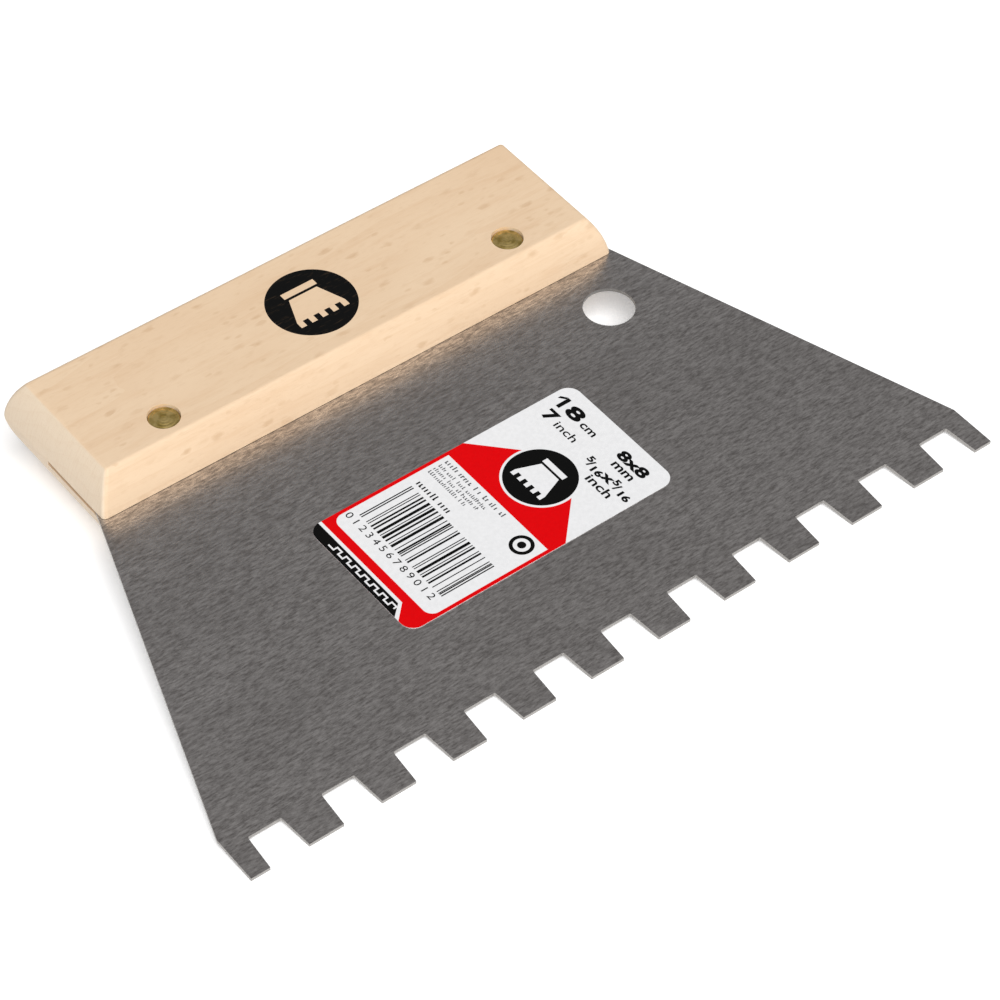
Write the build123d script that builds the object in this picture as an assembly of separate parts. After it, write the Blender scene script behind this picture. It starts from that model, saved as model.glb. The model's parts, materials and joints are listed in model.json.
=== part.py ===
from build123d import *
import math
import os

# Notched trowel: a flat steel blade with a row of square notches, let into a saw kerf
# in a one-piece beech handle and held by two brass rivets. All sizes in millimetres.
#
# Tool frame, in which every piece is drawn: origin in the middle of the tooth tips at
# half the blade's thickness, +X along the row of teeth, +Y towards the handle, +Z up
# through the printed face. lay_down() then puts the trowel as it rests on a table.

# Blade
BLADE_WIDTH = 180.0
BLADE_THICKNESS = 0.8
BLADE_REACH = 88.0          # tooth tips to the front of the handle
SHOULDER_HEIGHT = 10.8      # straight part of each side, from the tips up
BLADE_OVERHANG = 0.85       # blade beyond each handle end, along the handle's front

# Notches
NOTCH_DEPTH = 8.0
NOTCH_MOUTH = 8.6           # width at the tips
NOTCH_ROOT = 7.4            # width at the bottom of the notch
NOTCH_PITCH = 16.3
NOTCH_ROOT_RADIUS = 0.4
CORNER_TOOTH_MIN = 2.0      # narrowest tooth allowed at each corner

# Hanging hole
HOLE_RADIUS = 5.5
HOLE_FROM_HANDLE = 12.4     # centre to the front of the handle
HOLE_FROM_SIDE = 15.5       # centre to the blade's side, along X

# Handle
HANDLE_LENGTH = 126.9
HANDLE_DEPTH = 36.8         # front to back, along the blade
HANDLE_THICKNESS = 19.0
SIDE_RADIUS = 20.0          # crown of each side's upper and lower half
SIDE_LEAN = 10.0            # degrees that each half leans in beside the ridge
RIDGE_ROUND = 5.0           # where the two halves meet, at half thickness
CORNER_ROUND = 1.0          # where two crowned sides meet
FACE_ROUND = 1.0            # around the two flat faces
KERF_DEPTH = 20.0
KERF_CLEARANCE = 0.1        # each side of the blade
TANG_GAP = 0.6              # blade's hidden edge to the bottom of the kerf

# Rivets: a headed pin driven into a headed tube, both heads sunk below the wood
RIVET_FROM_FRONT = 9.0
RIVET_FROM_END = 20.75
HEAD_RADIUS = 3.3
HEAD_THICKNESS = 1.2
HEAD_RECESS = 0.5           # head's outer face below the wood
HEAD_CLEARANCE = 0.1        # around the head
HEAD_EDGE_ROUND = 0.25
TUBE_RADIUS = 2.2
PIN_RADIUS = 1.35
PIN_CLEARANCE = 0.02        # pin to the inside of the tube
PIN_END_GAP = 1.0           # below the pin and above the tube
SHANK_CLEARANCE = 0.1       # tube to the wood and the blade
TUBE_FLOOR = 0.8            # metal left under the blind bore, with the head
RING_PITCH = 0.75           # turned rings on the outer faces
RING_FIRST = 0.7
RING_DEPTH = 0.12

# Label stuck on the blade
LABEL_LENGTH = 65.8
LABEL_WIDTH = 33.3
LABEL_FILM = 0.1
LABEL_GLUE = 0.02
LABEL_CORNER = 3.0
LABEL_FROM_HANDLE = 42.0    # centre to the front of the handle
LABEL_OFFSET = -0.1         # centre to the trowel's middle line
LABEL_TURN = 0.3            # degrees, as stuck on by hand

half_blade = BLADE_THICKNESS / 2
half_wood = HANDLE_THICKNESS / 2
neck_half = HANDLE_LENGTH / 2 + BLADE_OVERHANG
tang_end = BLADE_REACH + KERF_DEPTH - TANG_GAP
side_slope = (BLADE_WIDTH / 2 - neck_half) / (BLADE_REACH - SHOULDER_HEIGHT)
lean = math.radians(SIDE_LEAN)
crown_in = RIDGE_ROUND + (SIDE_RADIUS - RIDGE_ROUND) * math.cos(lean)
crown_past = (SIDE_RADIUS - RIDGE_ROUND) * math.sin(lean)
side_bulge = crown_in - math.sqrt(SIDE_RADIUS**2 - (half_wood + crown_past) ** 2)
handle_middle = BLADE_REACH + HANDLE_DEPTH / 2
rivet_y = BLADE_REACH + RIVET_FROM_FRONT
rivet_x = HANDLE_LENGTH / 2 - RIVET_FROM_END


def blade_half_width(y):
    """Half the blade's width at height y, on its tapered part."""
    return BLADE_WIDTH / 2 - side_slope * (y - SHOULDER_HEIGHT)


def notch_centres():
    """X of each notch: as many as the blade holds, spread evenly about its middle."""
    room = BLADE_WIDTH - NOTCH_MOUTH - 2 * CORNER_TOOTH_MIN
    count = int(room // NOTCH_PITCH) + 1
    first = -(count - 1) * NOTCH_PITCH / 2
    return [first + i * NOTCH_PITCH for i in range(count)]


def hole_centre():
    y = BLADE_REACH - HOLE_FROM_HANDLE
    return blade_half_width(y) - HOLE_FROM_SIDE, y


def notch_tool():
    """Cutter for one notch: a tapered slot with small rounds in its two inner corners."""
    flare = (NOTCH_MOUTH - NOTCH_ROOT) / 2 / NOTCH_DEPTH
    below = NOTCH_MOUTH / 2 + flare * NOTCH_DEPTH
    outline = Polyline(
        (-below, -NOTCH_DEPTH),
        (below, -NOTCH_DEPTH),
        (NOTCH_ROOT / 2, NOTCH_DEPTH),
        (-NOTCH_ROOT / 2, NOTCH_DEPTH),
        close=True,
    )
    face = make_face(outline)
    inner = face.vertices().group_by(Axis.Y)[-1]
    return extrude(fillet(inner, NOTCH_ROOT_RADIUS), BLADE_THICKNESS, both=True)


def make_blade():
    tang_half = blade_half_width(tang_end)
    right = [
        (BLADE_WIDTH / 2, 0),
        (BLADE_WIDTH / 2, SHOULDER_HEIGHT),
        (tang_half, tang_end),
    ]
    left = [(-x, y) for x, y in reversed(right)]
    blade = extrude(make_face(Polyline(*right, *left, close=True)), half_blade, both=True)
    cutter = notch_tool()
    for x in notch_centres():
        blade -= Pos(x, 0, 0) * cutter
    hole_x, hole_y = hole_centre()
    blade -= Pos(hole_x, hole_y, 0) * Cylinder(HOLE_RADIUS, 2 * BLADE_THICKNESS)
    for x in (-rivet_x, rivet_x):
        blade -= Pos(x, rivet_y, 0) * Cylinder(TUBE_RADIUS + SHANK_CLEARANCE, 2 * BLADE_THICKNESS)
    return blade


def crowned_section(width):
    """Flat top and bottom; each side is two crowned halves that meet in a rounded ridge."""
    half = width / 2
    top_angle = math.asin((half_wood + crown_past) / SIDE_RADIUS)
    crown = [
        (half - crown_in + SIDE_RADIUS * math.cos(a), SIDE_RADIUS * math.sin(a) - crown_past)
        for a in (top_angle, (top_angle + lean) / 2, lean)
    ]
    lower = [(x, -z) for x, z in reversed(crown)]
    right = [
        ThreePointArc(*crown),
        ThreePointArc(crown[2], (half, 0), lower[0]),
        ThreePointArc(*lower),
    ]
    left = [mirror(arc, about=Plane.YZ) for arc in right]
    flats = [
        Line((half - side_bulge, z), (side_bulge - half, z)) for z in (half_wood, -half_wood)
    ]
    return make_face(Curve() + right + left + flats)


def make_handle():
    """Block crowned on all four sides, sawn open at the front and bored for the rivets."""
    lengthwise = extrude(Plane.YZ * crowned_section(HANDLE_DEPTH), HANDLE_LENGTH, both=True)
    crosswise = extrude(Plane.XZ * crowned_section(HANDLE_LENGTH), HANDLE_DEPTH, both=True)
    block = lengthwise & crosswise
    corners = [e for e in block.edges() if e.bounding_box().size.Z > FACE_ROUND]
    block = fillet(corners, CORNER_ROUND)
    faces = block.faces().sort_by(Axis.Z)
    block = fillet(faces[-1].edges() + faces[0].edges(), FACE_ROUND)
    block = Pos(0, handle_middle, 0) * block

    kerf_height = BLADE_THICKNESS + 2 * KERF_CLEARANCE
    kerf = Box(2 * HANDLE_LENGTH, 2 * KERF_DEPTH, kerf_height)
    block -= Pos(0, BLADE_REACH, 0) * kerf

    seat_radius = HEAD_RADIUS + HEAD_CLEARANCE
    seat_depth = HEAD_RECESS + HEAD_THICKNESS
    for x in (-rivet_x, rivet_x):
        place = Pos(x, rivet_y, 0)
        block -= place * Cylinder(TUBE_RADIUS + SHANK_CLEARANCE, 2 * HANDLE_THICKNESS)
        for side in (-1, 1):
            seat = Cylinder(seat_radius, 2 * seat_depth)
            block -= place * Pos(0, 0, side * half_wood) * seat
    return block


def rivet_head():
    """Disc from z = 0 up to its ringed outer face, with a rounded rim."""
    head = Pos(0, 0, HEAD_THICKNESS / 2) * Cylinder(HEAD_RADIUS, HEAD_THICKNESS)
    rim = head.edges().filter_by(GeomType.CIRCLE).sort_by(Axis.Z)[-1]
    head = fillet(rim, HEAD_EDGE_ROUND)
    radius = RING_FIRST
    while radius < HEAD_RADIUS - RING_PITCH:
        head -= Pos(0, 0, HEAD_THICKNESS) * Torus(radius, RING_DEPTH)
        radius += RING_PITCH
    return head


def make_rivet_pin():
    """Solid half of a rivet, head up, about the rivet's axis."""
    under_head = half_wood - HEAD_RECESS - HEAD_THICKNESS
    bore_floor = TUBE_FLOOR - half_wood + HEAD_RECESS
    shank_length = under_head - bore_floor - PIN_END_GAP
    shank = Pos(0, 0, under_head - shank_length / 2) * Cylinder(PIN_RADIUS, shank_length)
    return Pos(0, 0, under_head) * rivet_head() + shank


def make_rivet_tube():
    """Hollow half of a rivet, head down, about the rivet's axis."""
    under_head = half_wood - HEAD_RECESS - HEAD_THICKNESS
    length = 2 * under_head - PIN_END_GAP
    tube = Pos(0, 0, length / 2 - under_head) * Cylinder(TUBE_RADIUS, length)
    head = Pos(0, 0, -under_head) * Rot(180, 0, 0) * rivet_head()
    bore_floor = TUBE_FLOOR - half_wood + HEAD_RECESS
    bore_length = half_wood - bore_floor
    bore = Pos(0, 0, bore_floor + bore_length / 2) * Cylinder(PIN_RADIUS + PIN_CLEARANCE, bore_length)
    return head + tube - bore


def make_label():
    """Film with rounded corners, just above the blade's upper face."""
    film = extrude(RectangleRounded(LABEL_LENGTH, LABEL_WIDTH, LABEL_CORNER), LABEL_FILM)
    middle = Pos(LABEL_OFFSET, BLADE_REACH - LABEL_FROM_HANDLE, half_blade + LABEL_GLUE)
    return middle * Rot(0, 0, LABEL_TURN) * film


def rest_angle():
    """Tilt, in degrees, that brings the tooth tips and the handle's lower edge level.

    The lower edge is the round between the crowned front and the flat underside. Its
    centre lies FACE_ROUND above the underside and FACE_ROUND inside the crown.
    """
    centre_z = FACE_ROUND - half_wood
    inside = SIDE_RADIUS - FACE_ROUND
    centre_y = BLADE_REACH + crown_in - math.sqrt(inside**2 - (crown_past - centre_z) ** 2)
    rise = centre_z + half_blade
    distance = math.hypot(centre_y, rise)
    return math.degrees(math.asin(FACE_ROUND / distance) - math.atan2(rise, centre_y))


def lay_down():
    """Tilt about the teeth, then move the resting trowel's middle over the origin."""
    tilt = rest_angle()
    angle = math.radians(tilt)
    front = -half_blade * math.sin(angle)
    back_centre = BLADE_REACH + HANDLE_DEPTH - RIDGE_ROUND
    back = back_centre * math.cos(angle) + RIDGE_ROUND
    return Pos(0, -(front + back) / 2, half_blade * math.cos(angle)) * Rot(tilt, 0, 0)


def make_pieces():
    pieces = {
        "blade": make_blade(),
        "handle": make_handle(),
        "label": make_label(),
    }
    for side, x in (("left", -rivet_x), ("right", rivet_x)):
        pieces["rivet_pin_" + side] = Pos(x, rivet_y, 0) * make_rivet_pin()
        pieces["rivet_tube_" + side] = Pos(x, rivet_y, 0) * make_rivet_tube()
    return pieces


os.makedirs("parts", exist_ok=True)
resting = lay_down()
for name, piece in make_pieces().items():
    export_step(resting * piece, "parts/" + name + ".step")
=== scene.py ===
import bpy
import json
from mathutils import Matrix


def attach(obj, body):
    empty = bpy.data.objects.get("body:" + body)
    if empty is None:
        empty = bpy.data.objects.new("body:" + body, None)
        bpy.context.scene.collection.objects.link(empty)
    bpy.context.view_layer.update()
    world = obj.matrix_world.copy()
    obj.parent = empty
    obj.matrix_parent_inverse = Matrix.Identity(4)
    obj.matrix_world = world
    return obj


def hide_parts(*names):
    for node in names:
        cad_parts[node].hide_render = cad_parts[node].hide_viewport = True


bl_info = {
    "name": "Notched trowel",
    "version": (1, 0, 0),
    "blender": (4, 5, 0),
    "location": "3D View > Sidebar > Trowel",
    "description": "Finishes, prints and lights a notched trowel with a beech handle",
    "category": "Object",
}

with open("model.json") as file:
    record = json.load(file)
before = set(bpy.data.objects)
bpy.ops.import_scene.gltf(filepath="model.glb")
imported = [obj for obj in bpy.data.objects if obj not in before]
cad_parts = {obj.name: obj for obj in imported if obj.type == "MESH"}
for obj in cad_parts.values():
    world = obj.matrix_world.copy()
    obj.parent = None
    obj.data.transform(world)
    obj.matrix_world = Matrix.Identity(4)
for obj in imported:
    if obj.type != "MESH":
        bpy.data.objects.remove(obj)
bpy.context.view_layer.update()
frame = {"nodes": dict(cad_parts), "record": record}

import json
import math
from functools import partial

import bmesh
import bpy
import numpy as np
from bpy.props import FloatProperty, FloatVectorProperty, IntProperty, PointerProperty
from mathutils import Matrix, Vector

MM = 0.001
ROOT = "root"
WELD = 1e-7                 # points nearer than this, in metres, become one

# The tilted frame: the trowel rests on its teeth and the handle's edge, so its own
# axes are the row's turned about X. Rows: along the teeth, towards the handle, out
# of the printed face.
MOUNTS = {mount["name"]: mount for mount in frame["record"]["mounts"]}
FACE_NORMAL = np.array(MOUNTS["hanging_hole"]["axis"])
ALONG_TEETH = np.array([1.0, 0.0, 0.0])
AXES = np.array([ALONG_TEETH, np.cross(FACE_NORMAL, ALONG_TEETH), FACE_NORMAL])
TILT = math.atan2(-FACE_NORMAL[1], FACE_NORMAL[2])


def tilted_box(name):
    """Lowest and highest corner of a CAD node along the trowel's own axes, in metres."""
    mesh = frame["nodes"][name].data
    points = np.empty(3 * len(mesh.vertices))
    mesh.vertices.foreach_get("co", points)
    points = points.reshape(-1, 3) @ AXES.T
    return points.min(axis=0), points.max(axis=0)


def to_row(points):
    """Points along the trowel's own axes, turned into the row's frame."""
    return np.asarray(points, dtype=float) @ AXES


def linear(text):
    """An sRGB hex colour as linear red, green and blue, with full alpha."""
    value = np.array([int(text[i : i + 2], 16) for i in (1, 3, 5)]) / 255
    bright = ((value + 0.055) / 1.055) ** 2.4
    return (*(float(c) for c in np.where(value <= 0.04045, value / 12.92, bright)), 1.0)


# ---------------------------------------------------------------- sizes and colours


def length_prop(name, text, default):
    return FloatProperty(name=name, description=text, default=default, unit="LENGTH", min=0.0)


def angle_prop(name, text, degrees):
    return FloatProperty(
        name=name, description=text, default=math.radians(degrees), subtype="ANGLE"
    )


def colour_prop(name, text, default):
    return FloatVectorProperty(
        name=name, description=text, default=linear(default), size=4, subtype="COLOR",
        min=0.0, max=1.0,
    )


class TrowelColours(bpy.types.PropertyGroup):
    """Base colour of each finish."""

    beech: colour_prop("Beech", "Side grain of the handle", "#D0B79A")
    beech_late: colour_prop("Late wood", "Darker line that ends each growth ring", "#C2A281")
    beech_fleck: colour_prop("Ray fleck", "Short brown rays in the side grain", "#A98560")
    beech_end: colour_prop("End grain", "Sawn ends of the handle", "#D6C4AD")
    steel: colour_prop("Steel", "Polished streaks in the rolled face", "#F0EBE9")
    steel_dull: colour_prop("Dull steel", "Darker streaks in the rolled face", "#918C8A")
    steel_cut: colour_prop("Cut edge", "Sheared edges of the blade", "#A5A29F")
    brass: colour_prop("Brass", "Turned rivet heads", "#F4D68C")
    brass_dull: colour_prop("Dull brass", "Where air and hands dulled the rivets", "#A8904F")
    film: colour_prop("Label film", "White of the label", "#D5D5D6")
    red: colour_prop("Red ink", "Red fields of the label", "#C80005")
    black: colour_prop("Black ink", "Black print", "#050505")
    grey: colour_prop("Grey ink", "Small print", "#4C4C4F")
    floor: colour_prop("Floor", "Plain table top", "#F1F1F1")


class TrowelPrint(bpy.types.PropertyGroup):
    """Sizes of the label's print and of the handle's stamp."""

    ink: length_prop("Ink", "Thickness of one layer of print", 0.012 * MM)
    turn: angle_prop("Label turn", "How far the label is turned on the blade", 0.3)
    badge: length_prop("Label badge", "Radius of the label's round badge", 7.6 * MM)
    badge_line: length_prop("Badge line", "White line round the label's badge", 0.55 * MM)
    stamp: length_prop("Handle stamp", "Radius of the stamp on the handle", 9.6 * MM)
    stamp_left: length_prop("Stamp, left", "Stamp's centre to the handle's, along -X", 0.7 * MM)
    stamp_front: length_prop("Stamp, front", "Stamp's centre to the handle's, along -Y", 0.6 * MM)
    bar_seed: IntProperty(name="Bar seed", description="Pattern of the striped code", default=7)
    word_seed: IntProperty(name="Word seed", description="Pattern of the small print", default=3)


class TrowelStage(bpy.types.PropertyGroup):
    """Camera and light."""

    azimuth: angle_prop("Azimuth", "Direction the camera looks in, from +Y towards +X", 35.17)
    elevation: angle_prop("Elevation", "Camera's height above the table", 42.80)
    roll: angle_prop("Roll", "Camera's turn about its line of sight", -3.55)
    distance: length_prop("Distance", "Camera to the point that it looks at", 0.6988)
    aim_side: length_prop("Aim, sideways", "Looked-at point to the middle, along X", 0.08 * MM)
    aim_back: length_prop("Aim, forwards", "Looked-at point to the middle, along -Y", 18.55 * MM)
    aim_height: length_prop("Aim, height", "Looked-at point above the table", 8.0 * MM)
    lens: FloatProperty(name="Lens", description="Focal length in millimetres", default=128.93)
    sky: FloatProperty(name="Sky", description="Strength of the even light all round", default=0.27)
    sun: FloatProperty(name="Key light", description="Strength of the large soft light", default=4.1)
    sun_spread: angle_prop("Key spread", "Angle that the key light fills", 60.0)
    sun_side: angle_prop("Key side", "Where the key light comes from, from -Y towards -X", 14.0)
    sun_height: angle_prop("Key height", "Height of the key light above the table", 49.0)
    glow: FloatProperty(name="Glow", description="Light from the table top itself", default=0.20)
    floor: length_prop("Floor", "Side of the square floor", 6.0)


# ---------------------------------------------------------------- materials

# Sizes of the patterns in mm: along the teeth, towards the handle, out of the face.
RING_WIDTH = 3.4            # one year's growth
PITH_OFFSET = (0.0, -18.0, 46.0)    # the origin as seen from the tree's middle
RING_BEND = 16.0            # how far slow noise bends the rings
RING_BEND_CELL = (140.0, 24.0, 24.0)
RING_FADE = 4.0             # power with which a ring darkens across its width
WOOD_STAIN = (45.0, 14.0, 14.0)
WOOD_STREAK = (9.0, 1.1, 1.1)
LARGE_FLECK = (3.8, 1.7, 1.7)
SMALL_FLECK = (2.2, 1.0, 1.0)
WOOD_PORE = (2.4, 0.2, 0.2)
END_DOT = (0.6, 0.3, 0.3)
END_RAY = (2.0, 0.25, 9.0)
INK_WEAR = (2.6, 0.3, 0.3)
STEEL_STREAK = (1.7, 0.42, 2.0)
STEEL_CLOUD = (26.0, 11.0, 20.0)
BRASS_STAIN = (1.5, 1.5, 1.5)
BRASS_GRIT = (0.15, 0.15, 0.15)
FILM_MOTTLE = (0.9, 0.9, 0.9)
FILM_PEEL = (1.8, 1.8, 1.8)
TABLE_CLOUD = (60.0, 60.0, 60.0)
# How deep the finishes are.
WOOD_RELIEF = 0.02 * MM
STEEL_RELIEF = 0.006 * MM
BRASS_RELIEF = 0.004 * MM
FILM_RELIEF = 0.003 * MM
FLECK_CORE = 0.2            # a fleck is full as far as this share of its cell, and
FLECK_EDGE = 0.5            # gone at this one


def add_node(tree, kind, inputs, output=0, **settings):
    """Adds a node and returns one output: inputs are its sockets' values or links."""
    node = tree.nodes.new(kind)
    for key, value in settings.items():
        setattr(node, key, value)
    for key, value in inputs.items():
        if isinstance(value, bpy.types.NodeSocket):
            tree.links.new(value, node.inputs[key])
        else:
            node.inputs[key].default_value = value
    return node.outputs[output]


def start(name, **values):
    """A Principled material with the given sockets set: (material, shader inputs, add)."""
    material = bpy.data.materials.new(name)
    material.use_nodes = True
    shader = material.node_tree.nodes["Principled BSDF"]
    for key, value in values.items():
        shader.inputs[key.replace("_", " ")].default_value = value
    return material, shader.inputs, partial(add_node, material.node_tree)


def wire(material, inputs, links):
    """Links outputs to the shader's sockets by name."""
    for key, output in links.items():
        material.node_tree.links.new(output, inputs[key])
    return material


def grain_space(add, cell):
    """Object coordinates along the trowel's own axes, in units of cell, given in mm."""
    place = add("ShaderNodeTexCoord", {}, "Object")
    own = add("ShaderNodeMapping", {"Vector": place, "Rotation": (-TILT, 0.0, 0.0)})
    return add("ShaderNodeMapping", {"Vector": own, "Scale": tuple(1 / (MM * c) for c in cell)})


def patches(add, cell, low, high, detail=2.0, roughness=0.5):
    """Soft irregular patches about cell in size: 0 where the noise is low, 1 where high."""
    cloud = add(
        "ShaderNodeTexNoise",
        {"Vector": grain_space(add, cell), "Scale": 1.0, "Detail": detail, "Roughness": roughness},
    )
    return add("ShaderNodeMapRange", {"Value": cloud, "From Min": low, "From Max": high})


def flecks(add, cell, share, bend):
    """Ragged spots drawn out along the grain, in about share of the cells.

    Each is the middle of a random cell whose outline is bent by noise, and it fades out
    between its core and its edge.
    """
    place = grain_space(add, cell)
    push = add("ShaderNodeTexNoise", {"Vector": place, "Scale": 2.0, "Detail": 3.0}, "Color")
    bent = add(
        "ShaderNodeVectorMath", {0: push, 1: (bend, bend, bend), 2: place}, operation="MULTIPLY_ADD"
    )
    cells = add("ShaderNodeTexVoronoi", {"Vector": bent, "Scale": 1.0}, "Distance")
    spot = add(
        "ShaderNodeMapRange",
        {"Value": cells, "From Min": FLECK_CORE, "From Max": FLECK_EDGE, "To Min": 1.0, "To Max": 0.0},
    )
    tint = add("ShaderNodeTexVoronoi", {"Vector": bent, "Scale": 1.0}, "Color")
    pick = add("ShaderNodeSeparateColor", {"Color": tint})
    strength = add("ShaderNodeMapRange", {"Value": pick, "From Min": share, "From Max": 0.0})
    return add("ShaderNodeMath", {0: spot, 1: strength}, operation="MULTIPLY")


def facing(add, direction):
    """How far the surface faces direction or its opposite: 1 square on, 0 edge on."""
    normal = add("ShaderNodeTexCoord", {}, "Normal")
    dot = add(
        "ShaderNodeVectorMath", {0: normal, 1: tuple(direction)}, "Value", operation="DOT_PRODUCT"
    )
    return add("ShaderNodeMath", {0: dot}, operation="ABSOLUTE")


def layers(add, base, coats):
    """Colours laid over a base one after another: (share pattern, most of it, colour)."""
    for pattern, most, colour in coats:
        share = add("ShaderNodeMath", {0: pattern, 1: most}, operation="MULTIPLY")
        base = add("ShaderNodeMix", {0: share, 6: base, 7: colour}, 2, data_type="RGBA")
    return base


def growth_rings(add):
    """Growth rings about a pith below the handle: 0 in early wood, 1 at each ring's end.

    The distance from the pith is bent by slow noise and cut into rings of equal width, and
    each ring darkens with a power of the way across it.
    """
    place = grain_space(add, (1.0, 1.0, 1.0))
    pith = add("ShaderNodeVectorMath", {0: place, 1: PITH_OFFSET}, operation="ADD")
    across = add("ShaderNodeVectorMath", {0: pith, 1: (0.0, 1.0, 1.0)}, operation="MULTIPLY")
    radius = add("ShaderNodeVectorMath", {0: across}, "Value", operation="LENGTH")
    wobble = add(
        "ShaderNodeTexNoise", {"Vector": grain_space(add, RING_BEND_CELL), "Scale": 1.0}
    )
    bent = add("ShaderNodeMath", {0: wobble, 1: RING_BEND, 2: radius}, operation="MULTIPLY_ADD")
    rings = add("ShaderNodeMath", {0: bent, 1: RING_WIDTH}, operation="DIVIDE")
    way = add("ShaderNodeMath", {0: rings}, operation="FRACT")
    return add("ShaderNodeMath", {0: way, 1: RING_FADE}, operation="POWER")


def sanded_beech(colours):
    """Beech, planed and sanded, with no varnish.

    Pale pinkish wood with faint growth rings, ragged brown ray flecks and fine pores drawn
    out along the grain, and yellower, dotted end grain.
    """
    material, shader, add = start(
        "sanded beech", Roughness=0.62, IOR=1.5, Specular_IOR_Level=0.3
    )
    rings = growth_rings(add)
    pores = patches(add, WOOD_PORE, 0.55, 0.75)
    side = layers(
        add,
        tuple(colours.beech),
        (
            (rings, 0.22, tuple(colours.beech_late)),
            (patches(add, WOOD_STAIN, 0.40, 0.70), 0.30, tuple(colours.beech_late)),
            (patches(add, WOOD_STREAK, 0.50, 0.75, 3.0), 0.35, tuple(colours.beech_late)),
            (flecks(add, LARGE_FLECK, 0.20, 0.6), 0.40, tuple(colours.beech_fleck)),
            (flecks(add, SMALL_FLECK, 0.14, 0.5), 0.28, tuple(colours.beech_fleck)),
            (pores, 0.14, tuple(colours.beech_fleck)),
        ),
    )
    dots = patches(add, END_DOT, 0.52, 0.75)
    end = layers(
        add,
        tuple(colours.beech_end),
        (
            (rings, 0.10, tuple(colours.beech_late)),
            (dots, 0.14, tuple(colours.beech_fleck)),
            (patches(add, END_RAY, 0.5, 0.7), 0.20, tuple(colours.beech_late)),
        ),
    )
    is_end = add(
        "ShaderNodeMapRange", {"Value": facing(add, ALONG_TEETH), "From Min": 0.5, "From Max": 0.8}
    )
    colour = add("ShaderNodeMix", {0: is_end, 6: side, 7: end}, 2, data_type="RGBA")
    holes = add("ShaderNodeMath", {0: dots, 1: is_end, 2: pores}, operation="MULTIPLY_ADD")
    relief = add("ShaderNodeBump", {"Height": holes, "Distance": WOOD_RELIEF}, invert=True)
    return wire(material, shader, {"Base Color": colour, "Normal": relief})


def rolled_steel(colours):
    """Cold-rolled spring steel as it leaves the mill, lightly oiled.

    Dark satin metal full of short bright and dull streaks along the rolling direction,
    with brighter, rougher faces where the press sheared it.
    """
    material, shader, add = start("cold-rolled steel", Metallic=1.0)
    streaks = patches(add, STEEL_STREAK, 0.36, 0.64, 5.0, 0.7)
    clouds = patches(add, STEEL_CLOUD, 0.35, 0.70, 3.0)
    face = layers(
        add,
        tuple(colours.steel_dull),
        (
            (streaks, 0.80, tuple(colours.steel)),
            (clouds, 0.22, tuple(colours.steel_dull)),
        ),
    )
    is_cut = add(
        "ShaderNodeMapRange", {"Value": facing(add, FACE_NORMAL), "From Min": 0.75, "From Max": 0.45}
    )
    colour = add(
        "ShaderNodeMix", {0: is_cut, 6: face, 7: tuple(colours.steel_cut)}, 2, data_type="RGBA"
    )
    gloss = add("ShaderNodeMapRange", {"Value": streaks, "To Min": 0.34, "To Max": 0.24})
    sheared = add("ShaderNodeMath", {0: is_cut, 1: 0.25, 2: gloss}, operation="MULTIPLY_ADD")
    relief = add("ShaderNodeBump", {"Height": streaks, "Distance": STEEL_RELIEF})
    return wire(
        material, shader, {"Base Color": colour, "Roughness": sheared, "Normal": relief}
    )


def turned_brass(colours):
    """Yellow brass, turned and left to dull: olive-gold, darker where the air got at it."""
    material, shader, add = start("turned brass", Metallic=1.0, Roughness=0.42)
    stain = patches(add, BRASS_STAIN, 0.36, 0.62, 3.0)
    colour = layers(add, tuple(colours.brass), ((stain, 1.0, tuple(colours.brass_dull)),))
    gloss = add("ShaderNodeMapRange", {"Value": stain, "To Min": 0.32, "To Max": 0.5})
    grit = patches(add, BRASS_GRIT, 0.3, 0.7, 1.0)
    relief = add("ShaderNodeBump", {"Height": grit, "Distance": BRASS_RELIEF})
    return wire(material, shader, {"Base Color": colour, "Roughness": gloss, "Normal": relief})


def printed_film(name, colour, shine=0.5):
    """Gloss vinyl film, printed: even colour with a faint mottle and orange-peel gloss."""
    material, shader, add = start(name, IOR=1.48, Roughness=0.3, Specular_IOR_Level=shine)
    mottle = patches(add, FILM_MOTTLE, 0.35, 0.65)
    duller = tuple(0.95 * c for c in colour[:3]) + (1.0,)
    even = layers(add, tuple(colour), ((mottle, 1.0, duller),))
    peel = patches(add, FILM_PEEL, 0.3, 0.7, 1.0)
    relief = add("ShaderNodeBump", {"Height": peel, "Distance": FILM_RELIEF})
    return wire(material, shader, {"Base Color": even, "Normal": relief})


def stamped_ink(colours):
    """Black pad-printed ink soaked into bare wood: matt, with the grain breaking it up."""
    material, shader, add = start("stamp ink", Roughness=0.6, Specular_IOR_Level=0.12)
    worn = patches(add, INK_WEAR, 0.60, 0.78, 3.0)
    colour = layers(add, tuple(colours.black), ((worn, 0.10, tuple(colours.beech_fleck)),))
    relief = add("ShaderNodeBump", {"Height": worn, "Distance": WOOD_RELIEF})
    return wire(material, shader, {"Base Color": colour, "Normal": relief})


def lit_table(colours, glow):
    """Plain matt table top, lit from within so that it stays pale under the trowel."""
    material, shader, add = start(
        "matt table top", Roughness=0.9, Specular_IOR_Level=0.0, Emission_Strength=glow,
        Emission_Color=(1.0, 1.0, 1.0, 1.0),
    )
    faint = tuple(0.985 * c for c in colours.floor[:3]) + (1.0,)
    cloud = patches(add, TABLE_CLOUD, 0.3, 0.7)
    return wire(
        material, shader, {"Base Color": layers(add, tuple(colours.floor), ((cloud, 1.0, faint),))}
    )


def shared(name, make, *values):
    """The material of that name, made the first time it is asked for."""
    return bpy.data.materials.get(name) or make(*values)


# ---------------------------------------------------------------- surfaces


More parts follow.
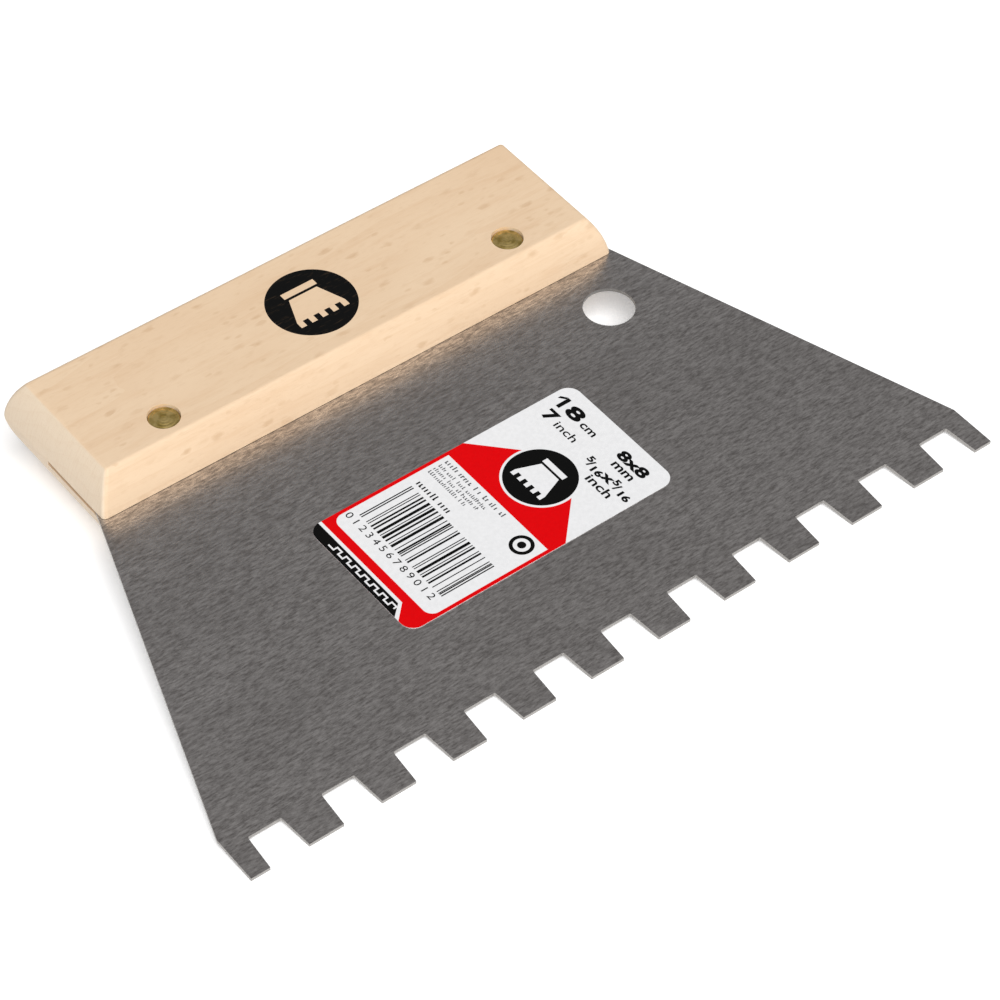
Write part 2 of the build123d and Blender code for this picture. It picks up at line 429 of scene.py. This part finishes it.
def grid_faces(rows, columns, close_rows=False, close_columns=False):
    """Quads between neighbouring points of a rows x columns grid, wrapped where closed."""
    i, j = np.meshgrid(
        np.arange(rows - (not close_rows)), np.arange(columns - (not close_columns)), indexing="ij"
    )
    i2, j2 = (i + 1) % rows, (j + 1) % columns
    corners = [i * columns + j, i2 * columns + j, i2 * columns + j2, i * columns + j2]
    return np.stack([c.ravel() for c in corners], axis=1)


def slab(edge_a, edge_b, low, high, closed=False):
    """Plate between two edges, as (points, faces).

    At each step s its cross-section is the rectangle with corners edge_a(s) and edge_b(s)
    at heights low and high; neighbouring sections are joined, and the two end sections
    are filled unless the edges close on themselves.
    """
    a, b = np.asarray(edge_a, dtype=float), np.asarray(edge_b, dtype=float)
    count = len(a)
    section = np.empty((count, 4, 3))
    for corner, (edge, height) in enumerate(((a, low), (b, low), (b, high), (a, high))):
        section[:, corner, :2] = edge
        section[:, corner, 2] = height
    faces = grid_faces(count, 4, close_rows=closed, close_columns=True)
    if not closed:
        first = np.array([[0, 1, 2, 3]])
        faces = np.vstack([faces, first, first[:, ::-1] + 4 * (count - 1)])
    return section.reshape(-1, 3), faces


def lathe(profile, steps):
    """Surface of revolution: point (r, z) of the profile goes to (r cos t, r sin t, z)."""
    turn = np.linspace(0, 2 * math.pi, steps, endpoint=False)
    radius, height = np.asarray(profile, dtype=float).T
    points = np.empty((len(radius), steps, 3))
    points[..., 0] = radius[:, None] * np.cos(turn)
    points[..., 1] = radius[:, None] * np.sin(turn)
    points[..., 2] = height[:, None]
    return points.reshape(-1, 3), grid_faces(len(radius), steps, close_columns=True)


def shells(parts):
    """Several (points, faces) joined as one."""
    points, faces, start_at = [], [], 0
    for part_points, part_faces in parts:
        points.append(part_points)
        faces.append(np.asarray(part_faces) + start_at)
        start_at += len(part_points)
    return np.vstack(points), np.vstack(faces)


def make_piece(name, points, faces, material, slot, smooth=None):
    """A mesh piece in the row's frame, welded, facing outwards and riding on the trowel."""
    mesh = bpy.data.meshes.new(name)
    mesh.from_pydata(points.tolist(), [], faces.tolist())
    work = bmesh.new()
    work.from_mesh(mesh)
    bmesh.ops.remove_doubles(work, verts=work.verts, dist=WELD)
    bmesh.ops.dissolve_degenerate(work, edges=work.edges, dist=WELD)
    bmesh.ops.recalc_face_normals(work, faces=work.faces)
    work.to_mesh(mesh)
    work.free()
    if smooth is not None:
        mesh.polygons.foreach_set("use_smooth", np.ones(len(mesh.polygons), dtype=bool))
        mesh.set_sharp_from_angle(angle=smooth)
    piece = bpy.data.objects.new(name, mesh)
    bpy.context.scene.collection.objects.link(piece)
    mesh.materials.append(material)
    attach(piece, ROOT)
    return piece


def dress(node, material):
    """Gives a CAD node its finish."""
    mesh = frame["nodes"][node].data
    mesh.materials.clear()
    mesh.materials.append(material)


# ---------------------------------------------------------------- blade and handle


class TROWEL_OT_blade(bpy.types.Operator):
    """Finishes the blade as rolled steel with bright cut edges"""

    bl_idname = "trowel.blade"
    bl_label = "Blade"

    def execute(self, context):
        dress("blade", shared("cold-rolled steel", rolled_steel, context.scene.trowel_colours))
        return {"FINISHED"}


class TROWEL_OT_handle(bpy.types.Operator):
    """Finishes the handle as sanded beech"""

    bl_idname = "trowel.handle"
    bl_label = "Handle"

    def execute(self, context):
        dress("handle", shared("sanded beech", sanded_beech, context.scene.trowel_colours))
        return {"FINISHED"}


# ---------------------------------------------------------------- rivets

SIDES = ("left", "right")
HEAD_THICKNESS = 1.2 * MM
HEAD_RINGS = 4
RING_DEPTH = 0.05 * MM
HEAD_DOME = 0.12 * MM       # middle of a head above its edge
HEAD_EDGE = 0.3 * MM
PIN_RADIUS = 1.35 * MM
TUBE_RADIUS = 2.2 * MM
BORE_RADIUS = 1.37 * MM
BORE_FLOOR = 0.8 * MM       # metal between the bore and the head's outer face
LATHE_STEPS = 96
SMOOTH_ANGLE = math.radians(40)


def head_profile(radius):
    """Outer face of a rivet head from its middle to its edge, as (r, z) below z = 0.

    z falls by the ring depth times a raised cosine along r, on a face domed like a
    parabola, and the edge is a quarter circle.
    """
    flat = radius - HEAD_EDGE
    r = np.linspace(0, flat, 64)
    ripple = RING_DEPTH * (0.5 - 0.5 * np.cos(2 * math.pi * HEAD_RINGS * r / flat))
    dome = HEAD_DOME * (r / flat) ** 2
    t = np.linspace(0, math.pi / 2, 9)
    drop = HEAD_EDGE * (np.cos(t) - 1) - HEAD_DOME
    edge = np.stack([flat + HEAD_EDGE * np.sin(t), drop], axis=1)
    return np.vstack([np.stack([r, -ripple - dome], axis=1), edge, [[radius, -HEAD_THICKNESS]]])


def headed_pin(node):
    """Solid half of a rivet, head up, turned on its axis."""
    low, high = tilted_box(node)
    inner = [[PIN_RADIUS, -HEAD_THICKNESS], [PIN_RADIUS, low[2] - high[2]], [0.0, low[2] - high[2]]]
    points, faces = lathe(np.vstack([head_profile((high[0] - low[0]) / 2), inner]), LATHE_STEPS)
    middle = (low + high) / 2
    return to_row(points + [middle[0], middle[1], high[2]]), faces


def headed_tube(node):
    """Hollow half of a rivet, head down, turned on its axis, with its blind bore."""
    low, high = tilted_box(node)
    length = high[2] - low[2]
    inner = [
        [TUBE_RADIUS, -HEAD_THICKNESS],
        [TUBE_RADIUS, -length],
        [BORE_RADIUS, -length],
        [BORE_RADIUS, -BORE_FLOOR],
        [0.0, -BORE_FLOOR],
    ]
    points, faces = lathe(np.vstack([head_profile((high[0] - low[0]) / 2), inner]), LATHE_STEPS)
    middle = (low + high) / 2
    return to_row(points * [1, -1, -1] + [middle[0], middle[1], low[2]]), faces


class TROWEL_OT_rivets(bpy.types.Operator):
    """Turns the four rivet halves with ringed, slightly domed heads"""

    bl_idname = "trowel.rivets"
    bl_label = "Rivets"

    def execute(self, context):
        brass = shared("turned brass", turned_brass, context.scene.trowel_colours)
        for half, turned in (("rivet_pin_", headed_pin), ("rivet_tube_", headed_tube)):
            for side in SIDES:
                node = half + side
                piece = make_piece("turned_" + node, *turned(node), brass, "rivet_brass", SMOOTH_ANGLE)
                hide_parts(node)
        return {"FINISHED"}


# ---------------------------------------------------------------- badge

# A plain trowel: handle bar above, blade below that widens to a row of square teeth.
# Lengths are shares of the badge's radius.
SIGN_BAR_HALF = 0.42
SIGN_BAR_HEIGHT = 0.17
SIGN_NECK = 0.36
SIGN_EDGE = 0.62
SIGN_TOP = 0.56
SIGN_BOTTOM = -0.52
SIGN_TOOTH = 0.17
SIGN_GAP = 0.07
SIGN_NOTCHES = 4
CIRCLE_STEPS = 96


def disc(radius, low, high):
    """Round plate: chords of a circle from (-r cos t, r sin t) to (r cos t, r sin t)."""
    t = np.linspace(-math.pi / 2, math.pi / 2, CIRCLE_STEPS)
    left = np.stack([-radius * np.cos(t), radius * np.sin(t)], axis=1)
    return slab(left, left * [-1, 1], low, high)


def ring(outer, inner, low, high):
    """Flat ring between two circles."""
    t = np.linspace(0, 2 * math.pi, CIRCLE_STEPS, endpoint=False)
    unit = np.stack([np.cos(t), np.sin(t)], axis=1)
    return slab(unit * outer, unit * inner, low, high, closed=True)


def bar(x0, y0, x1, y1, low, high):
    """Rectangular plate between two opposite corners."""
    return slab([[x0, y0], [x1, y0]], [[x0, y1], [x1, y1]], low, high)


def trowel_sign(radius, low, high):
    """The trowel sign about the badge's centre, up being the handle's side.

    A bar, a blade that widens in a straight line, and every other one of an odd number of
    equal steps along its edge as a tooth.
    """
    half, height = radius * SIGN_BAR_HALF, radius * SIGN_BAR_HEIGHT
    top, bottom = radius * SIGN_TOP, radius * SIGN_BOTTOM
    neck, edge, tooth = radius * SIGN_NECK, radius * SIGN_EDGE, radius * SIGN_TOOTH
    blade_top = top - height - radius * SIGN_GAP
    root = bottom + tooth
    parts = [
        bar(-half, top - height, half, top, low, high),
        slab([[-neck, blade_top], [-edge, root]], [[neck, blade_top], [edge, root]], low, high),
    ]
    pitch = 2 * edge / (2 * SIGN_NOTCHES + 1)
    for i in range(SIGN_NOTCHES + 1):
        x = -edge + 2 * i * pitch
        parts.append(bar(x, bottom, x + pitch, root, low, high))
    return shells(parts)


class TROWEL_OT_stamp(bpy.types.Operator):
    """Stamps a round trowel sign on the handle's flat face"""

    bl_idname = "trowel.stamp"
    bl_label = "Handle stamp"

    def execute(self, context):
        colours, sizes = context.scene.trowel_colours, context.scene.trowel_print
        low, high = tilted_box("handle")
        place = np.array([(low[0] + high[0]) / 2, (low[1] + high[1]) / 2, high[2]])
        place -= [sizes.stamp_left, sizes.stamp_front, 0.0]
        points, faces = disc(sizes.stamp, -sizes.ink, sizes.ink)
        ink = shared("stamp ink", stamped_ink, colours)
        make_piece("handle_stamp", to_row(points + place), faces, ink, "handle_wood")
        points, faces = trowel_sign(sizes.stamp, 0.0, 2 * sizes.ink)
        bare = shared("sanded beech", sanded_beech, colours)
        make_piece("handle_stamp_sign", to_row(points + place), faces, bare, "handle_wood")
        return {"FINISHED"}


# ---------------------------------------------------------------- label

# All in mm: u runs along the teeth from the label's left end, v from the handle's side
# towards the teeth.
CORNER = 3.0                # the label's corners
ARC_STEPS = 12
RED_FOOT = (38.3, 37.8)     # u where the red field's two slopes start, near and far side
RED_POINT = (54.0, 16.6)    # u, v that they aim at
RED_END = 48.0              # u where the red stops, under the badge
PANEL = (5.4, 34.0)         # white panel, from and to
PANEL_CORNER = 2.2
PANEL_LINE = 0.85           # red line left along the panel's long sides
END_WHITE = (3.4, 29.6, 3.3)        # end strip's width, reach along v, slant of its end
END_BLACK = (2.65, 28.4, 2.4)
BADGE_AT = (44.8, 16.6)
MARK_AT = (30.7, 28.5)      # small ring mark
MARK_RINGS = (2.55, 1.75, 0.9)      # outer radius, inner radius, dot
CODE = (10.3, 23.1, 3.1)    # striped code: from and to u, first v
CODE_MODULE = 0.28
CODE_SYMBOLS = 12
CODE_RUNS = 4               # bars and gaps in a symbol
CODE_MODULES = 7            # modules in a symbol
CODE_INK = 0.8              # share of a bar's run that is inked
TOOTH_LINE = (0.75, 5.8, 1.47, 7)    # u, v, half pitch and teeth of the end strip's line
WORD_STROKE = 0.24          # share of a letter's height
TOOTH_THICK = 0.36
TOOTH_RISE = 0.95
# Rows of the small print: u, from and to v, letter height.
WORD_ROWS = (
    (32.1, 2.0, 20.8, 1.2), (30.5, 2.0, 16.9, 0.9), (29.2, 2.0, 15.8, 0.9), (27.9, 2.0, 13.6, 0.9),
)
ARTICLE_ROW = (24.1, 3.1, 14.4, 1.5)
# Sizes printed on the label: text, u of the baseline, v of the start, height, widening
# and weight, all in mm but for the widening.
PRINTED_SIZES = (
    ("1", 59.7, 2.1, 3.2, 1.20, 0.18),
    ("8", 59.7, 5.2, 3.2, 1.85, 0.17),
    ("cm", 59.7, 10.0, 2.0, 1.35, 0.05),
    ("7", 55.6, 3.0, 2.9, 1.45, 0.15),
    ("inch", 55.6, 6.7, 2.0, 1.45, 0.02),
    ("8x8", 60.4, 20.9, 2.5, 1.60, 0.14),
    ("mm", 58.0, 22.1, 2.1, 1.38, 0.07),
    ("5", 55.2, 18.1, 1.5, 1.50, 0.08),
    ("/", 54.2, 19.2, 1.9, 1.50, 0.05),
    ("16", 53.8, 20.3, 1.6, 1.50, 0.09),
    ("x", 54.3, 23.7, 2.2, 1.50, 0.13),
    ("5", 55.2, 26.2, 1.5, 1.50, 0.08),
    ("/", 54.2, 27.4, 1.9, 1.50, 0.05),
    ("16", 53.8, 28.8, 1.6, 1.50, 0.09),
    ("inch", 51.5, 21.9, 2.1, 1.52, 0.05),
)
ONE_FLAG = ((61.9, 1.5), (62.95, 2.9), 0.7)     # the 1's flag: two ends and thickness
CODE_DIGITS = ("0123456789012", 8.0, 1.3, 1.7, 2.2)     # text, u, first v, height, pitch
DIGIT_WIDEN = 1.25
CAP_SHARE = 0.73            # height of a figure to the type size


class LabelFrame:
    """Where the label is, and what of it is flat plates of ink."""

    def __init__(self, sizes):
        low, high = tilted_box("label")
        size = high - low
        self.turn = sizes.turn
        straight = size - 2 * CORNER * MM
        self.length = size[0] - straight[1] * math.sin(self.turn)
        self.width = size[1] - straight[0] * math.sin(self.turn)
        self.middle = (low + high) / 2
        self.top = high[2]
        self.ink = sizes.ink

    def plate(self, shape, layer):
        """A (points, faces) shape in mm of u and v, put on the label as one ink layer."""
        points, faces = shape
        points = points * [MM, MM, 1.0]
        u = points[:, 0] - self.length / 2
        v = self.width / 2 - points[:, 1]
        c, s = math.cos(self.turn), math.sin(self.turn)
        x = self.middle[0] + u * c - v * s
        y = self.middle[1] + u * s + v * c
        z = self.top + points[:, 2] + layer * self.ink
        return to_row(np.stack([x, y, z], axis=1)), faces


def rounded_edges(u, first, corner, width):
    """v of the two long edges at each u, pulled in round corners that start at u = first."""
    inside = np.clip(corner - (u - first), 0, corner)
    pull = corner - np.sqrt(np.maximum(corner**2 - inside**2, 0))
    return pull, width - pull


def corner_steps(reach):
    """Steps along u that follow a quarter circle evenly, from 0 to reach."""
    return reach * (1 - np.cos(np.linspace(0, math.pi / 2, ARC_STEPS)))


def red_field(width, ink):
    """Red from the label's left end to the badge.

    Its two edges are the label's rounded outline as far as the two feet, and then
    straight lines towards the point, cut off under the badge.
    """
    near, far = RED_FOOT
    point_u, point_v = RED_POINT
    u = np.unique(np.concatenate([corner_steps(CORNER), [far, near, RED_END]]))
    low, high = rounded_edges(u, 0.0, CORNER, width)
    low = np.maximum(low, (u - near) / (point_u - near) * point_v)
    high = np.minimum(high, width - (u - far) / (point_u - far) * (width - point_v))
    return slab(np.stack([u, low], axis=1), np.stack([u, high], axis=1), 0.0, ink)


def white_panel(width, ink):
    """White field with two rounded corners at its left end, inside a thin red line."""
    first, last = PANEL
    u = np.append(first + corner_steps(PANEL_CORNER), last)
    low, high = rounded_edges(u, first, PANEL_CORNER, width - 2 * PANEL_LINE)
    low, high = low + PANEL_LINE, high + PANEL_LINE
    return slab(np.stack([u, low], axis=1), np.stack([u, high], axis=1), 0.0, ink)


def end_strip(across, reach, slant, ink):
    """Strip along the left end: from the label's rounded corner to a slanted end."""
    u = across * (1 - np.cos(np.linspace(0, math.pi / 2, ARC_STEPS)))
    low, _ = rounded_edges(u, 0.0, CORNER, 0.0)
    high = reach - slant * u / across
    return slab(np.stack([u, low], axis=1), np.stack([u, high], axis=1), 0.0, ink)


def striped_code(seed, ink):
    """Stripes across v, like a printed stock code that says nothing.

    Each symbol is seven modules wide and holds two bars and two gaps of random width;
    a pair of thin bars stands before, between and after the two halves.
    """
    random = np.random.default_rng(seed)
    first, last, v = CODE
    parts = []
    for symbol in range(CODE_SYMBOLS + 1):
        if symbol in (0, CODE_SYMBOLS // 2, CODE_SYMBOLS):
            for _ in range(2):
                parts.append(bar(first, v, last, v + CODE_MODULE, 0.0, ink))
                v += 2 * CODE_MODULE
        if symbol < CODE_SYMBOLS:
            cuts = np.sort(random.choice(np.arange(1, CODE_MODULES), CODE_RUNS - 1, replace=False))
            runs = np.diff([0, *cuts, CODE_MODULES]) * CODE_MODULE
            for gap, ink_run in runs.reshape(-1, 2):
                parts.append(bar(first, v + gap, last, v + gap + CODE_INK * ink_run, 0.0, ink))
                v += gap + ink_run
    return shells(parts)


def word_row(random, u, v, end, height, ink):
    """A row of short marks in place of a line of small print.

    Each mark is an upright dash, two thirds to the full height, and every other one on
    average has a foot, half way or low down, that joins it to the next.
    """
    parts = []
    stroke = height * WORD_STROKE
    while v < end:
        letter = height * random.uniform(0.5, 0.75)
        tall = height * random.choice([0.68, 0.68, 1.0])
        parts.append(bar(u, v, u + tall, v + stroke, 0.0, ink))
        if random.random() < 0.5:
            foot = u + random.choice([0.0, 0.45]) * height
            parts.append(bar(foot, v + stroke, foot + stroke, v + letter - stroke, 0.0, ink))
        v += letter * random.choice([1.0, 1.0, 1.0, 1.0, 2.0])
    return parts


def tooth_line(ink):
    """White line that steps up and down like the trowel's teeth, along the end strip."""
    u, v, half, teeth = TOOTH_LINE
    parts = []
    for _ in range(teeth):
        up = v + half
        parts.append(bar(u, v, u + TOOTH_THICK, up + TOOTH_THICK, 0.0, ink))
        parts.append(bar(u + TOOTH_THICK, up, u + TOOTH_RISE, up + TOOTH_THICK, 0.0, ink))
        v = up + half
        parts.append(bar(u + TOOTH_RISE, up, u + TOOTH_RISE + TOOTH_THICK, v + TOOTH_THICK, 0.0, ink))
        parts.append(bar(u + TOOTH_THICK, v, u + TOOTH_RISE, v + TOOTH_THICK, 0.0, ink))
    return shells(parts)


def move(shape, u, v):
    """Shape drawn with up along +u and right along +v, moved to (u, v)."""
    points, faces = shape
    return np.stack([points[:, 1] + u, points[:, 0] + v, points[:, 2]], axis=1), faces


def letters(text, height, widen, weight, ink):
    """Flat lettering as (points, faces), its baseline along +x from the origin, in mm."""
    curve = bpy.data.curves.new("letters", "FONT")
    curve.body = text
    curve.size = height / CAP_SHARE
    curve.offset = weight
    curve.extrude = 0.5
    curve.resolution_u = 4
    holder = bpy.data.objects.new("letters", curve)
    bpy.context.scene.collection.objects.link(holder)
    depsgraph = bpy.context.evaluated_depsgraph_get()
    mesh = bpy.data.meshes.new_from_object(holder.evaluated_get(depsgraph))
    points = np.empty(3 * len(mesh.vertices))
    mesh.vertices.foreach_get("co", points)
    points = points.reshape(-1, 3) * [widen, 1.0, ink]
    mesh.calc_loop_triangles()
    faces = np.empty(3 * len(mesh.loop_triangles), dtype=int)
    mesh.loop_triangles.foreach_get("vertices", faces)
    bpy.data.meshes.remove(mesh)
    bpy.data.objects.remove(holder)
    bpy.data.curves.remove(curve)
    return points, faces.reshape(-1, 3)


class TROWEL_OT_label(bpy.types.Operator):
    """Prints the label: red and white fields, stripes, badge and sizes"""

    bl_idname = "trowel.label"
    bl_label = "Label"

    def execute(self, context):
        colours, sizes = context.scene.trowel_colours, context.scene.trowel_print
        label = LabelFrame(sizes)
        width, ink = label.width / MM, label.ink
        badge = sizes.badge / MM
        film = shared("gloss white film", printed_film, "gloss white film", colours.film)
        red = shared("red print", printed_film, "red print", colours.red, 0.12)
        black = shared("black print", printed_film, "black print", colours.black, 0.15)
        grey = shared("grey print", printed_film, "grey print", colours.grey, 0.25)
        dress("label", film)

        make_piece("label_red_field", *label.plate(red_field(width, ink), 0), red, "label_film")
        whites = [
            white_panel(width, ink),
            end_strip(*END_WHITE, ink),
            move(disc(badge + sizes.badge_line / MM, 0.0, ink), *BADGE_AT),
        ]
        make_piece("label_white_fields", *label.plate(shells(whites), 1), film, "label_film")
        outer, inner, dot = MARK_RINGS
        random = np.random.default_rng(sizes.word_seed)
        low_end, high_end, thick = ONE_FLAG
        flag = np.array([low_end, high_end])
        blacks = [
            striped_code(sizes.bar_seed, ink),
            end_strip(*END_BLACK, ink),
            move(disc(badge, 0.0, ink), *BADGE_AT),
            move(ring(outer, inner, 0.0, ink), *MARK_AT),
            move(disc(dot, 0.0, ink), *MARK_AT),
            slab(flag, flag - [thick, 0.0], 0.0, ink),
            *word_row(random, *ARTICLE_ROW, ink),
        ]
        make_piece("label_black_fields", *label.plate(shells(blacks), 2), black, "label_film")
        signs = [move(trowel_sign(badge, 0.0, ink), *BADGE_AT), tooth_line(ink)]
        make_piece("label_signs", *label.plate(shells(signs), 3), film, "label_film")
        words = [row for place in WORD_ROWS for row in word_row(random, *place, ink)]
        make_piece("label_small_print", *label.plate(shells(words), 2), grey, "label_film")
        texts = [
            move(letters(text, height, widen, weight, ink), u, v)
            for text, u, v, height, widen, weight in PRINTED_SIZES
        ]
        digits, u, v, height, pitch = CODE_DIGITS
        for i, digit in enumerate(digits):
            texts.append(move(letters(digit, height, DIGIT_WIDEN, 0.0, ink), u, v + pitch * i))
        make_piece("label_sizes", *label.plate(shells(texts), 3), black, "label_film")
        return {"FINISHED"}


# ---------------------------------------------------------------- stage


def towards(angle, height):
    """Unit vector at an angle from +Y towards +X, raised by height."""
    flat = math.cos(height)
    return Vector((flat * math.sin(angle), flat * math.cos(angle), math.sin(height)))


class TROWEL_OT_stage(bpy.types.Operator):
    """Sets the table top, the soft light and the camera"""

    bl_idname = "trowel.stage"
    bl_label = "Stage"

    def execute(self, context):
        stage, scene = context.scene.trowel_stage, context.scene
        half = stage.floor / 2
        corners = [(-half, -half, 0), (half, -half, 0), (half, half, 0), (-half, half, 0)]
        mesh = bpy.data.meshes.new("table_top")
        mesh.from_pydata(corners, [], [(0, 1, 2, 3)])
        mesh.materials.append(lit_table(scene.trowel_colours, stage.glow))
        floor = bpy.data.objects.new("table_top", mesh)
        scene.collection.objects.link(floor)

        world = bpy.data.worlds.new("even_light")
        world.use_nodes = True
        sky = world.node_tree.nodes["Background"].inputs
        sky["Color"].default_value = (1.0, 1.0, 1.0, 1.0)
        sky["Strength"].default_value = stage.sky
        scene.world = world

        lamp = bpy.data.lights.new("key", "SUN")
        lamp.energy = stage.sun
        lamp.angle = stage.sun_spread
        key = bpy.data.objects.new("key", lamp)
        source = towards(math.pi + stage.sun_side, stage.sun_height)
        key.rotation_euler = (-source).to_track_quat("-Z", "Y").to_euler()
        scene.collection.objects.link(key)

        look = towards(stage.azimuth, -stage.elevation)
        aim = Vector((stage.aim_side, -stage.aim_back, stage.aim_height))
        lens = bpy.data.cameras.new("camera")
        lens.lens = stage.lens
        camera = bpy.data.objects.new("camera", lens)
        camera.location = aim - look * stage.distance
        turn = look.to_track_quat("-Z", "Y").to_matrix() @ Matrix.Rotation(stage.roll, 3, "Z")
        camera.rotation_euler = turn.to_euler()
        scene.collection.objects.link(camera)
        scene.camera = camera
        scene.view_settings.view_transform = "Standard"
        return {"FINISHED"}


# ---------------------------------------------------------------- add-on

STEPS = (
    TROWEL_OT_stage,
    TROWEL_OT_blade,
    TROWEL_OT_handle,
    TROWEL_OT_rivets,
    TROWEL_OT_stamp,
    TROWEL_OT_label,
)


class TROWEL_PT_panel(bpy.types.Panel):
    """Lists the steps"""

    bl_idname = "TROWEL_PT_panel"
    bl_label = "Notched trowel"
    bl_space_type = "VIEW_3D"
    bl_region_type = "UI"
    bl_category = "Trowel"

    def draw(self, context):
        for step in STEPS:
            self.layout.operator(step.bl_idname)


CLASSES = (TrowelColours, TrowelPrint, TrowelStage, *STEPS, TROWEL_PT_panel)


def register():
    for each in CLASSES:
        bpy.utils.register_class(each)
    bpy.types.Scene.trowel_colours = PointerProperty(type=TrowelColours)
    bpy.types.Scene.trowel_print = PointerProperty(type=TrowelPrint)
    bpy.types.Scene.trowel_stage = PointerProperty(type=TrowelStage)


def unregister():
    del bpy.types.Scene.trowel_colours
    del bpy.types.Scene.trowel_print
    del bpy.types.Scene.trowel_stage
    for each in reversed(CLASSES):
        bpy.utils.unregister_class(each)


def main():
    register()
    bpy.ops.trowel.stage()
    bpy.ops.trowel.blade()
    bpy.ops.trowel.handle()
    bpy.ops.trowel.rivets()
    bpy.ops.trowel.stamp()
    bpy.ops.trowel.label()


if __name__ == "__main__":
    main()
